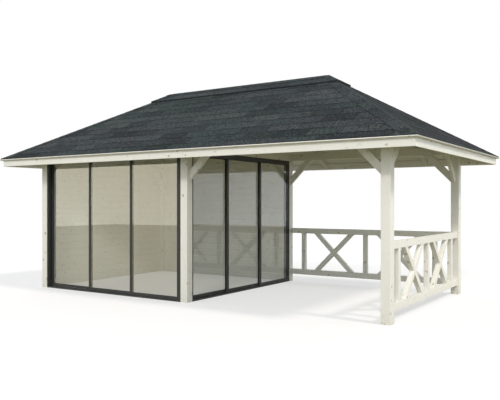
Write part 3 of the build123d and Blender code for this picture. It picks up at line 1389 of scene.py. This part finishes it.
@dataclass(frozen=True)
class Fold:
    """Line of a hip or a ridge, from its lower end, with the slopes that meet there."""

    sides: tuple[Side, Side]
    start: Vector
    end: Vector
    wing: float

    @property
    def run(self) -> Vector:
        """Direction of the line."""
        return (self.end - self.start).normalized()

    def wings(self, form: RoofForm) -> list[Vector]:
        """Directions down the two slopes, square to the line.

        Args:
            form: lines of the roof.

        Returns:
            The direction on each slope.
        """
        ways = []
        for side, other in (self.sides, self.sides[::-1]):
            way = form.square(side).cross(self.run).normalized()
            ways.append(way if way.dot(side.facing - other.facing) > 0 else -way)
        return ways

    def eaves(self, reach: Span) -> list[Cut]:
        """Upright planes at the two eaves of a hip, given how far they lie out in X and Y."""
        y_side, x_side = self.sides
        return [(side.facing * distance, side.facing) for side, distance in zip((x_side, y_side), reach)]


@dataclass
class FoldedCaps:
    """Shingles folded over a hip or a ridge, each lapping the one below.

    Their grain is shifted away from the painted shade that the courses have under the next one.
    """

    form: RoofForm
    wing: float = 0.125
    exposure: float = 0.145
    lap: float = 0.004
    shortest_share: float = 0.2
    columns: int = 8
    rows: int = 2
    thickness: float = 0.0016
    edge_lift: Span = (1.6, 1.1)
    butt_lift: float = 0.0050
    head_lift: float = 0.0030
    unevenness: float = 0.0015
    crease: float = 0.0012
    hat_gap: float = 0.002
    tones: Span = (-0.8, 0.7)
    # Grain shift that keeps the painted shade under each course off the caps
    dusk_free: tuple[float, ...] = (0.0, -10.0, 0.0)

    def cap(self, fold: Fold, foot: Vector, length: float, chance: random.Random) -> Mesh:
        """One folded shingle.

        Args:
            fold: the line it is folded over.
            foot: point of the line at its lower end.
            length: length along the line.
            chance: source of the unevenness.

        Returns:
            The shingle in place.
        """
        columns = self.columns
        uneven = [chance.uniform(-self.unevenness, self.unevenness) for _ in range(columns + 1)]
        rise = UP / math.cos(self.form.pitch)
        run, wings = fold.run, fold.wings(self.form)
        low_edge, high_edge = (self.thickness * lift for lift in self.edge_lift)

        def place(p: float, q: float, upper: bool) -> Vector:
            """Corner of the shingle's grid.

            Args:
                p: share from the rim of one wing to the rim of the other.
                q: share of the length.
                upper: whether it is on the upper face.

            Returns:
                The corner.
            """
            column = round(p * columns)
            off = abs(2.0 * p - 1.0)
            crown = self.butt_lift + q * (self.head_lift - self.butt_lift)
            edge = low_edge + q * (high_edge - low_edge)
            lift = crown + off * (edge - crown) - (0.0 if upper else self.thickness)
            crease = self.crease if 2 * column == columns else 0.0
            along = q * length + (1.0 - q) * uneven[column]
            way = wings[0 if 2 * column < columns else 1]
            return foot + run * along + rise * (lift - crease) + way * (off * fold.wing)

        return grid_slab(columns, self.rows, place)

    def lay_line(self, book: PieceBook, fold: Fold, cuts: list[Cut]) -> None:
        """Lay caps along a line.

        Args:
            book: piece that takes the caps.
            fold: the line.
            cuts: planes that end the caps.
        """
        first, second = fold.sides
        chance = random.Random(f"{book.name} {first.word} {second.word} {len(book.points)}")
        length = (fold.end - fold.start).length
        for number in range(math.ceil(length / self.exposure - self.shortest_share)):
            foot = fold.start + fold.run * (number * self.exposure)
            reach = min(self.exposure + self.lap, length - number * self.exposure)
            shape = self.cap(fold, foot, reach, chance)
            if trim(shape, Matrix(), cuts):
                lay = Matrix.Translation(foot)
                shape.transform(lay.inverted())
                book.take(shape, lay, chance.uniform(*self.tones), chance.random(), self.dusk_free)

    def build_hips(self, hat_reach: float) -> Piece:
        """Cap the four hips from the lip to the hat.

        Args:
            hat_reach: half-width of the hat.

        Returns:
            The caps as one piece.
        """
        book = PieceBook("hip_caps", SHINGLE)
        form = self.form
        lift = form.shingles_top / math.cos(form.pitch)
        for x_side, y_side in HIPS:
            hand, way = x_side.value[0], y_side.value[1]
            start = Vector((hand * form.reach_x, way * form.reach_y, form.foot_level + lift))
            ridge = Vector((hand * form.ridge_half, 0.0, form.ridge_level + lift))
            end = start.lerp(ridge, 1.0 - (hat_reach + self.hat_gap) / form.reach_y)
            fold = Fold((y_side, x_side), start, end, self.wing)
            self.lay_line(book, fold, fold.eaves(form.reach(form.shingles_back)))
        return book.close()


@dataclass
class RidgeHat:
    """The small hipped hat on the ridge: felted boards, a course of tabs and folded caps."""

    form: RoofForm
    reach: float = 0.240
    board_thickness: float = 0.0140
    board_groove: float = 0.001
    board_spare: float = 0.1
    felt_tone: float = -0.4
    tab_thickness: float = 0.0024
    tab_butt: float = 0.0075
    tab_head: float = 0.0045
    tab_overhang: float = 0.004
    tabs_end: float = 0.32
    first_seed: int = 20
    caps_level: float = 0.049
    hip_wing: float = 0.085
    ridge_wing: float = 0.110
    ridge_inset: float = 0.03
    cap_thickness: float = 0.0020
    cap_butt: float = 0.0038
    cap_head: float = 0.0026

    def build(self) -> list[Piece]:
        """Build the hat.

        Returns:
            Its boards, its tabs and its caps.
        """
        form = self.form
        ends = (form.ridge_half + self.reach, self.reach)
        rim = (form.reach_y - self.reach) / math.cos(form.pitch)
        base = form.shingles_top + self.board_thickness
        line = rim + base * math.tan(form.pitch)
        boards = PieceBook("hat_boards", FELT, replaces=("ridge_cap",))
        tabs = PieceBook("hat_tabs", SHINGLE)
        courses = ShingleCourses(
            form,
            tab_thickness=self.tab_thickness,
            butt_lift=self.tab_butt,
            head_lift=self.tab_head,
            overhang=self.tab_overhang,
        )
        lines = (line, line + courses.exposure, line + self.tabs_end)
        for number, side in enumerate(Side):
            half = ends[0] if side.is_long else ends[1]
            cuts = form.cuts(side, ends)
            width = form.slope_length - rim + self.board_spare
            slab = board(2 * half, width, self.board_thickness, self.board_groove)
            spot = form.lay(side) @ Matrix.Translation((-half, rim, form.shingles_top))
            if trim(slab, spot, cuts):
                boards.take(slab, spot, self.felt_tone)
            courses.lay_field(tabs, side, base, lines, half, cuts, self.first_seed + number)
        return [boards.close(), tabs.close(), self.build_caps()]

    def build_caps(self) -> Piece:
        """Cap the hat's ridge and its four short hips.

        Returns:
            The caps as one piece.
        """
        form = self.form
        book = PieceBook("hat_caps", SHINGLE)
        caps = FoldedCaps(
            form, thickness=self.cap_thickness, butt_lift=self.cap_butt, head_lift=self.cap_head
        )
        level = form.ridge_level + self.caps_level / math.cos(form.pitch)
        drop = self.reach * math.tan(form.pitch)
        for x_side, y_side in HIPS:
            hand, way = x_side.value[0], y_side.value[1]
            peak = Vector((hand * form.ridge_half, 0.0, level))
            corner = peak + Vector((hand * self.reach, way * self.reach, -drop))
            fold = Fold((y_side, x_side), corner, peak, self.hip_wing)
            caps.lay_line(book, fold, fold.eaves((form.ridge_half + self.reach, self.reach)))
        right = Vector((form.ridge_half - self.ridge_inset, 0.0, level))
        left = Vector((self.ridge_inset - form.ridge_half, 0.0, level))
        caps.lay_line(book, Fold((Side.FRONT, Side.BACK), right, left, self.ridge_wing), [])
        return book.close()


# Timbers


@dataclass
class SawnTimbers:
    """Timbers that keep the shape of their CAD solids and get eased edges and their own grain."""

    flat: float = math.radians(0.5)
    steep: float = 0.9

    def build(self, name: str, node: str) -> Piece:
        """Rebuild the solids of one node.

        Args:
            name: name of the piece.
            node: the CAD node that it stands for.

        Returns:
            The piece.
        """
        chance = random.Random(name)
        book = PieceBook(name, PINE, replaces=(node,))
        whole = bmesh.new()
        whole.from_mesh(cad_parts[node].data)
        bmesh.ops.remove_doubles(whole, verts=whole.verts[:], dist=ONE_CORNER)
        bmesh.ops.dissolve_limit(
            whole, angle_limit=self.flat, verts=whole.verts[:], edges=whole.edges[:]
        )
        for shape in self.parts_of(whole):
            lay = self.lay_of(shape)
            ease_edges(shape)
            shape.transform(lay.inverted())
            book.take_timber(shape, lay, chance)
        whole.free()
        return book.close()

    def lay_of(self, shape: Mesh) -> Matrix:
        """Place of a timber: X along its longest edge, from one end of that edge.

        Args:
            shape: the timber.

        Returns:
            Its place.
        """
        longest = max(shape.edges, key=lambda edge: edge.calc_length())
        start, end = (corner.co.copy() for corner in longest.verts)
        run = (end - start).normalized()
        level = UP if abs(run.z) < self.steep else ALONG_X
        across = level.cross(run).normalized()
        lay = Matrix((run, across, run.cross(across))).transposed().to_4x4()
        lay.translation = start
        return lay

    @staticmethod
    def parts_of(whole: Mesh) -> list[Mesh]:
        """Take a mesh apart into its separate solids.

        Args:
            whole: the mesh.

        Returns:
            One mesh for each solid.
        """
        parts, seen = [], set()
        for first in whole.verts:
            if first in seen:
                continue
            pile, found = [first], [first]
            seen.add(first)
            while pile:
                for edge in pile.pop().link_edges:
                    for corner in edge.verts:
                        if corner not in seen:
                            seen.add(corner)
                            found.append(corner)
                            pile.append(corner)
            part = bmesh.new()
            copies = {corner: part.verts.new(corner.co) for corner in found}
            for face in whole.faces:
                if face.verts[0] in copies:
                    part.faces.new([copies[corner] for corner in face.verts])
            parts.append(settle(part))
        return parts


class Lean(Enum):
    """How a bar lies in its railing, as an angle from level."""

    LEVEL = 0.0
    UPRIGHT = math.pi / 2
    RISING = math.pi / 4
    FALLING = -math.pi / 4


@dataclass
class Railing:
    """Railing of the open bay: two rails, three uprights and two crosses."""

    name: str
    node: str
    rail_height: float = 0.090
    bar_width: float = 0.071
    bar_thickness: float = 0.061
    first_bar: float = 0.262
    cross_gap: float = 0.0006

    def __post_init__(self) -> None:
        """Measure the CAD railing and start the piece."""
        self.box = UprightBox(self.node)
        self.book = PieceBook(self.name, PINE, replaces=(self.node,))
        self.chance = random.Random(self.name)

    def bar(self, outline: list[Span], lean: Lean, half_thickness: float) -> None:
        """Add a bar that lies in the plane of the railing.

        Args:
            outline: corners along the railing and up.
            lean: direction of the grain.
            half_thickness: half the thickness of the bar.
        """
        turn = Matrix.Rotation(lean.value, 4, "Z")
        back = turn.inverted()
        corners = [back @ Vector((x, y, 0.0)) for x, y in outline]
        shape = prism([(corner.x, corner.y) for corner in corners], -half_thickness, half_thickness)
        ease_edges(shape)
        self.book.take_timber(shape, self.box.lay @ turn, self.chance)

    def cross(self, middle: float, low: float, high: float) -> None:
        """Add one cross: a whole bar, and two half bars that end at it.

        Args:
            middle: where it stands, along the railing.
            low: top of the lower rail.
            high: underside of the upper rail.
        """
        level, rise = (low + high) / 2, (high - low) / 2
        cut, gap = self.bar_width / math.sqrt(2.0), self.cross_gap
        whole = [
            (middle - rise - cut, low),
            (middle - rise + cut, low),
            (middle + rise + cut, high),
            (middle + rise - cut, high),
        ]
        self.bar(whole, Lean.RISING, self.bar_thickness / 2)
        for hand in BOTH_WAYS:
            end = level + hand * rise
            half_bar = [
                (middle - hand * (rise + cut), end),
                (middle - hand * (rise - cut), end),
                (middle - hand * gap, level + hand * (cut + gap)),
                (middle - hand * (cut + gap), level + hand * gap),
            ]
            self.bar(half_bar, Lean.FALLING, self.bar_thickness / 2)

    def build(self) -> Piece:
        """Build the railing.

        Returns:
            The railing as one piece.
        """
        box, half = self.box, self.bar_width / 2
        low, high = box.foot + self.rail_height, box.top - self.rail_height
        for foot in (box.foot, high):
            rail = rectangle(box.start, box.end, foot, foot + self.rail_height)
            self.bar(rail, Lean.LEVEL, box.half_thickness)
        places = [box.start + self.first_bar, (box.start + box.end) / 2, box.end - self.first_bar]
        for place in places:
            self.bar(rectangle(place - half, place + half, low, high), Lean.UPRIGHT, self.bar_thickness / 2)
        for first, second in zip(places, places[1:]):
            self.cross((first + second) / 2, low, high)
        return self.book.close()


@dataclass
class BoardedWall:
    """Wall of level boards with V joints on both faces."""

    name: str
    node: str
    count: int = 18
    groove: float = 0.0075

    def build(self) -> Piece:
        """Board the wall.

        Returns:
            The wall as one piece.
        """
        chance = random.Random(self.name)
        book = PieceBook(self.name, WALL_PINE, replaces=(self.node,))
        wall = UprightBox(self.node)
        width = (wall.top - wall.foot) / self.count
        for row in range(self.count):
            shape = board(wall.end - wall.start, width, 2 * wall.half_thickness, self.groove)
            spot = wall.at(wall.start, wall.foot + row * width, -wall.half_thickness)
            book.take_timber(shape, spot, chance)
        return book.close()


@dataclass
class ScrewHeads:
    """Countersunk stainless screws that hold the fascia to the rafters and the rails to the posts."""

    radius: float = 0.0045
    sunk: float = 0.002
    dome: float = 0.0009
    dome_share: float = 0.55
    recess: float = 0.0018
    recess_share: float = 0.42
    sides: int = 14
    fascia_levels: Span = (2.010, 2.058)
    rafters_x: tuple[float, ...] = (0.53, 1.43, 2.33)
    rafters_y: tuple[float, ...] = (-0.9, 0.0, 0.9)
    rail_inset: float = 0.035

    def fascia_spots(self) -> list[Spot]:
        """Where the screws of the fascia are, at the rafters.

        Returns:
            Place and outward direction of each.
        """
        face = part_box("fascia_boards")[1]
        face_x, face_y = measure(face.x), measure(face.y)
        spots = []
        for level in self.fascia_levels:
            for way in BOTH_WAYS:
                for x in (hand * x for x in self.rafters_x for hand in BOTH_WAYS):
                    spots.append((Vector((x, way * face_y, level)), ALONG_Y * way))
                for y in self.rafters_y:
                    spots.append((Vector((way * face_x, y, level)), ALONG_X * way))
        return spots

    def rail_spots(self, node: str) -> list[Spot]:
        """Where the screws of a railing are, at the posts.

        Args:
            node: the CAD railing.

        Returns:
            Place and outward direction of each.
        """
        box, half = UprightBox(node), Railing.rail_height / 2
        return [
            (box.at(along, level, way * box.half_thickness).translation, box.out * way)
            for level in (box.foot + half, box.top - half)
            for along in (box.start + self.rail_inset, box.end - self.rail_inset)
            for way in BOTH_WAYS
        ]

    def head(self) -> Mesh:
        """One head with a round recess.

        Returns:
            The head, with its face along Z.
        """
        shape = bmesh.new()
        rings = (
            (self.radius, -self.sunk),
            (self.radius, 0.0),
            (self.radius * self.dome_share, self.dome),
            (self.radius * self.recess_share, self.dome - self.recess),
        )
        turns = [2 * math.pi * i / self.sides for i in range(self.sides)]
        loops = [
            [shape.verts.new((radius * math.cos(turn), radius * math.sin(turn), level)) for turn in turns]
            for radius, level in rings
        ]
        return stack(shape, loops)

    def build(self) -> Piece:
        """Set the screws.

        Returns:
            All heads as one piece.
        """
        book = PieceBook("screw_heads", STEEL)
        rails = [spot for node in ("back_railing", "right_railing") for spot in self.rail_spots(node)]
        for spot, way in self.fascia_spots() + rails:
            lay = way.to_track_quat("Z", "Y").to_matrix().to_4x4()
            lay.translation = spot
            book.take(self.head(), lay)
        return book.close()


# Doors


@dataclass
class DoorPanel:
    """What a sliding panel carries beside its frame and pane: glazing rubber and a flush pull.

    A profile is a list of steps inward and of rises, for the bead as shares of its width and rise,
    for the pull in metres and as shares of its rise.
    """

    body: str
    pull_on_high_stile: bool
    stile_middle: float = 0.021
    bead_width: float = 0.006
    bead_rise: float = 0.0042
    bead_profile: tuple[Span, ...] = ((0.0, 0.0), (0.0, 1.0), (0.45, 0.85), (0.8, 0.45), (1.0, 0.0))
    pull_height: float = 0.140
    pull_width: float = 0.024
    pull_rise: float = 0.0016
    pull_level: float = 1.020
    pull_profile: tuple[Span, ...] = (
        (0.0, 0.0), (0.0, 0.5), (0.0012, 1.0), (0.0028, 0.8), (0.0042, 0.12),
    )
    pull_steps: int = 8

    def build(self) -> list[Piece]:
        """Build the rubber and the pull.

        Returns:
            The two pieces.
        """
        glass, leaf = UprightBox(f"{self.body}_glass"), UprightBox(f"{self.body}_frame")
        inward = self.stile_middle
        stile = leaf.end - inward if self.pull_on_high_stile else leaf.start + inward
        rubber = PieceBook(f"{self.body}_glazing_rubber", RUBBER, self.body)
        pull = PieceBook(f"{self.body}_pull", COAT, self.body)
        for face in reversed(BOTH_WAYS):
            self.add_bead(rubber, glass, face)
            self.add_pull(pull, leaf.at(stile, self.pull_level, face * leaf.half_thickness), face)
        return [rubber.close(), pull.close()]

    def add_bead(self, book: PieceBook, glass: UprightBox, face: float) -> None:
        """Run a bead of rubber round the pane.

        Args:
            book: piece that takes the bead.
            glass: box of the pane.
            face: 1 or -1, the face it lies on.
        """
        shape = bmesh.new()
        half_run, half_height = (glass.end - glass.start) / 2, (glass.top - glass.foot) / 2
        loops = []
        for inward, rise in self.bead_profile:
            x, y = half_run - inward * self.bead_width, half_height - inward * self.bead_width
            z = face * rise * self.bead_rise
            loops.append([shape.verts.new((*corner, z)) for corner in rectangle(-x, x, -y, y)])
        sleeve(shape, [*loops, loops[0]])
        spot = glass.at(glass.start + half_run, glass.foot + half_height, face * glass.half_thickness)
        book.take(settle(shape), spot)

    def add_pull(self, book: PieceBook, lay: Matrix, face: float) -> None:
        """Set a flush pull: a low oval rim round a shallow cup.

        Args:
            book: piece that takes the pull.
            lay: middle of the pull on the stile.
            face: 1 or -1, the face it lies on.
        """
        shape = bmesh.new()
        half = self.pull_width / 2
        reach = self.pull_height / 2 - half
        outline = []
        for first_turn, shift in ((0.0, reach), (math.pi, -reach)):
            for i in range(self.pull_steps + 1):
                turn = first_turn + math.pi * i / self.pull_steps
                outline.append((math.cos(turn), math.sin(turn), shift))
        loops = []
        for inward, rise in self.pull_profile:
            radius, z = half - inward, face * rise * self.pull_rise
            loops.append([shape.verts.new((radius * c, radius * s + shift, z)) for c, s, shift in outline])
        book.take(stack(shape, loops), lay)


# Stage


@dataclass(frozen=True)
class Lamp:
    """A distant studio lamp."""

    name: str
    stands: tuple[float, float, float]
    strength: float
    spread: float = math.radians(8.0)
    colour: Colour = (1.0, 0.94, 0.86)

    def hang(self) -> None:
        """Hang the lamp and turn it to the object."""
        light = bpy.data.lights.new(self.name, "SUN")
        light.energy, light.angle, light.color = self.strength, self.spread, self.colour
        lamp = bpy.data.objects.new(self.name, light)
        lamp.rotation_mode = "QUATERNION"
        lamp.rotation_quaternion = Vector(self.stands).to_track_quat("Z", "Y")
        bpy.context.scene.collection.objects.link(lamp)


@dataclass
class Stage:
    """Pale floor, soft light, white background and the camera."""

    sky: Colour = (0.935, 0.980, 1.03)
    walls: float = 1.21
    ceiling: float = 0.25
    ceiling_rise: Span = (0.40, 1.0)
    skirting: float = 0.34
    skirting_rise: Span = (0.0, 0.20)
    white: Colour = (1.0, 1.0, 1.0)
    gloss_share: float = 0.49
    through_share: float = 0.50
    lamps: tuple[Lamp, ...] = (
        Lamp("front_lamp", (0.250, -0.810, 0.530), 1.16),
        Lamp("right_lamp", (0.650, -0.060, 0.757), 1.62),
    )
    floor_half: float = 24.0
    floor_level: float = -0.001
    floor_dull: Colour = (0.200, 0.190, 0.105)
    floor_pale: Colour = (0.45, 0.45, 0.445)
    floor_glow: float = 0.50
    lens: float = 45.178
    sensor: float = 36.0
    camera_place: tuple[float, float, float] = (5.54080, -8.31034, 1.39107)
    camera_turn: float = math.radians(33.0958)
    camera_shift: float = 0.00517

    def seen(self, sheet: NodeSheet) -> Socket:
        """Share in which a ray meets the white.

        Args:
            sheet: the sheet of the floor or the world.

        Returns:
            All of it for a ray from the camera, part of it for one from gloss or through glass.
        """
        path = sheet.add("ShaderNodeLightPath").outputs
        gloss = sheet.times(path["Is Glossy Ray"], self.gloss_share)
        through = sheet.times(path["Is Transmission Ray"], self.through_share)
        return sheet.maths("MAXIMUM", path["Is Camera Ray"], sheet.maths("MAXIMUM", gloss, through))

    def build(self) -> None:
        """Set the stage."""
        self.light()
        self.lay_floor()
        self.place_camera()
        bpy.context.scene.view_settings.view_transform = "Standard"

    def light(self) -> None:
        """Light the object with two lamps and soft walls of light, before a white background."""
        world = bpy.data.worlds.new("studio")
        bpy.context.scene.world = world
        world.use_nodes = True
        sheet = NodeSheet(world.node_tree)
        height = sheet.axes(sheet.add("ShaderNodeTexCoord").outputs["Generated"])[2]
        high = sheet.span(height, self.ceiling_rise, (self.walls, self.ceiling))
        low = sheet.span(height, self.skirting_rise, (self.skirting, 0.0))
        soft = world.node_tree.nodes["Background"]
        sheet.fill(soft, {"Color": rgba(self.sky), "Strength": sheet.maths("ADD", high, low)})
        white = sheet.add("ShaderNodeBackground", {"Color": rgba(self.white)})
        sheet.mix(self.seen(sheet), soft, white, "World Output")
        for lamp in self.lamps:
            lamp.hang()

    def lay_floor(self) -> None:
        """Lay the floor: white to the eye outside the shadow, dull to the light that it sends back."""
        half = self.floor_half
        corners = [(x, y, self.floor_level) for x, y in rectangle(-half, half, -half, half)]
        mesh = bpy.data.meshes.new("floor")
        mesh.from_pydata(corners, [], [range(len(corners))])
        floor = bpy.data.objects.new("floor", mesh)
        bpy.context.scene.collection.objects.link(floor)
        material = bpy.data.materials.new("floor")
        material.use_nodes = True
        mesh.materials.append(material)
        sheet = NodeSheet(material.node_tree)
        dull = material.node_tree.nodes["Principled BSDF"]
        sheet.fill(
            dull, {"Base Color": rgba(self.floor_dull), "Roughness": 1.0, "Specular IOR Level": 0.0}
        )
        pale = sheet.add("ShaderNodeBsdfDiffuse", {"Color": rgba(self.floor_pale)})
        glow = sheet.add("ShaderNodeEmission", {"Strength": self.floor_glow})
        bright = sheet.add("ShaderNodeAddShader", {0: pale.outputs[0], 1: glow.outputs[0]})
        sheet.mix(self.seen(sheet), dull, bright, "Material Output")

    def place_camera(self) -> None:
        """Stand the camera where the photograph was taken."""
        lens = bpy.data.cameras.new("camera")
        lens.lens, lens.sensor_width, lens.shift_y = self.lens, self.sensor, self.camera_shift
        camera = bpy.data.objects.new("camera", lens)
        camera.location = self.camera_place
        camera.rotation_euler = (math.pi / 2, 0.0, self.camera_turn)
        bpy.context.scene.collection.objects.link(camera)
        bpy.context.scene.camera = camera


# Assembly


def dress_nodes() -> None:
    """Dress the CAD nodes that stay."""
    for y_word in ("front", "back"):
        for x_word in ("left", "middle", "right"):
            dress_node(f"{y_word}_{x_word}_post", PINE_UPRIGHT)
    for name, finish in (
        ("long_plates", PINE_ALONG_X),
        ("ridge_beam", PINE_ALONG_X),
        ("end_plates", PINE_ALONG_Y),
        ("middle_beam", PINE_ALONG_Y),
    ):
        dress_node(name, finish, EASE)
    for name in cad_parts:
        if "door" in name:
            pane = FRONT_PANE if name.startswith("front") else SIDE_PANE
            dress_node(name, pane if name.endswith("_glass") else COAT)


def build_timbers() -> None:
    """Build the timbers, the walls and the railings."""
    sawn = SawnTimbers()
    for name, node in (
        ("braces", "knee_braces"),
        ("fascia", "fascia_boards"),
        ("common_rafters", "long_side_rafters"),
        ("end_slope_rafters", "end_rafters"),
        ("corner_rafters", "hip_rafters"),
    ):
        sawn.build(name, node)
    for word in ("left", "back"):
        BoardedWall(f"{word}_wall_boards", f"{word}_wall").build()
    for word in ("back", "right"):
        Railing(f"{word}_rail_and_crosses", f"{word}_railing").build()
    ScrewHeads().build()


def build_roof() -> None:
    """Build the boards, shingles, caps and hat of the roof."""
    form = RoofForm()
    boarding, courses, hat = RoofBoarding(form), ShingleCourses(form), RidgeHat(form)
    for side in Side:
        boarding.build(side)
        courses.build(side)
    FoldedCaps(form).build_hips(hat.reach)
    hat.build()


def build_doors() -> None:
    """Build what the six sliding panels carry."""
    for body, on_high_stile in (
        ("front_door_left", False),
        ("front_door_middle", False),
        ("front_door_right", True),
        ("side_door_front", False),
        ("side_door_middle", False),
        ("side_door_back", True),
    ):
        DoorPanel(body, on_high_stile).build()


def main() -> None:
    """Build the gazebo's looks around the frame."""
    logging.basicConfig(level=logging.INFO, format="%(name)s %(message)s")
    dress_nodes()
    build_timbers()
    build_roof()
    build_doors()
    Stage().build()


if __name__ == "__main__":
    main()
